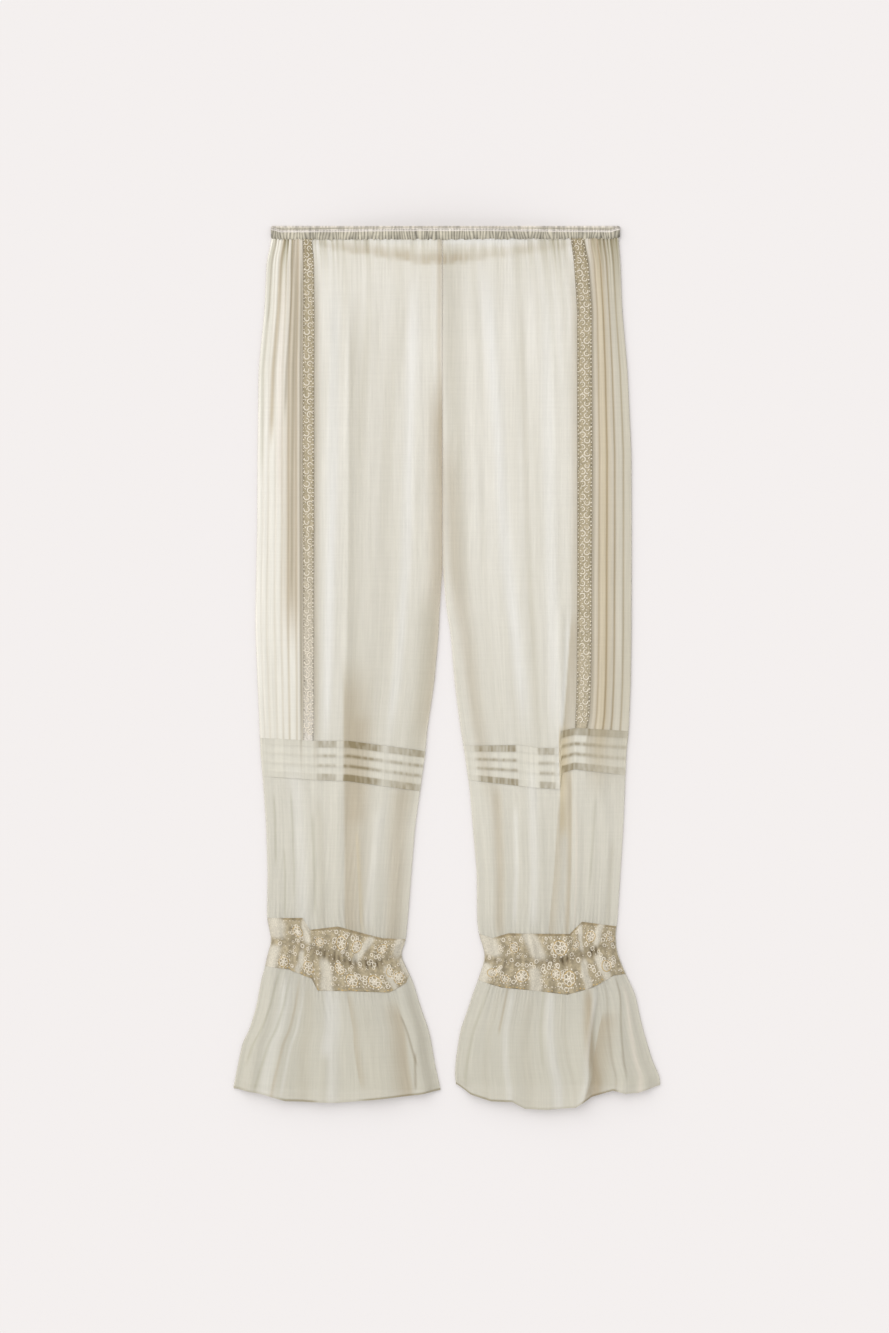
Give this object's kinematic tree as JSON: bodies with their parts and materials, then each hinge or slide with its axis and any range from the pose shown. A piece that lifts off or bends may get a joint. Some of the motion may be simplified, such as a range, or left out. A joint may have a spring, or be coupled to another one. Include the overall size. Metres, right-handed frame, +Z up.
{
  "type": "trousers",
  "caption": "Sheer ankle-length trousers laid flat, with a gathered elastic waist, pintucked sides, lace strips, tucked knee bands, gathered lace cuffs and flared frills.",
  "frame": {"origin": "under the middle of the garment's bounding box, on the surface that it lies on", "axes": "+X to the right as the front is seen, +Y from the frills toward the waist, +Z up from the surface out of the front"},
  "size_m": [0.4841, 1.0017, 0.022],
  "materials": {
    "voile": "sheer ivory cotton voile, matt",
    "tucked_voile": "ivory voile in rows of pintucks, matt",
    "lace": "beige lace with raised cream embroidery",
    "casing": "gathered voile over elastic, matt",
    "striped_voile": "ivory voile with darker tucks across it"
  },
  "bodies": {
    "root": {"waistband": "casing", "front_left": "voile", "front_right": "voile", "back_left": "voile", "back_right": "voile", "side_left": "tucked_voile", "side_right": "tucked_voile", "lace_left": "lace", "lace_right": "lace", "knee_band_left": "striped_voile", "knee_band_right": "striped_voile", "lower_leg_left": "voile", "lower_leg_right": "voile", "cuff_left": "lace", "cuff_right": "lace", "frill_left": "voile", "frill_right": "voile"}
  },
  "joints": []
}
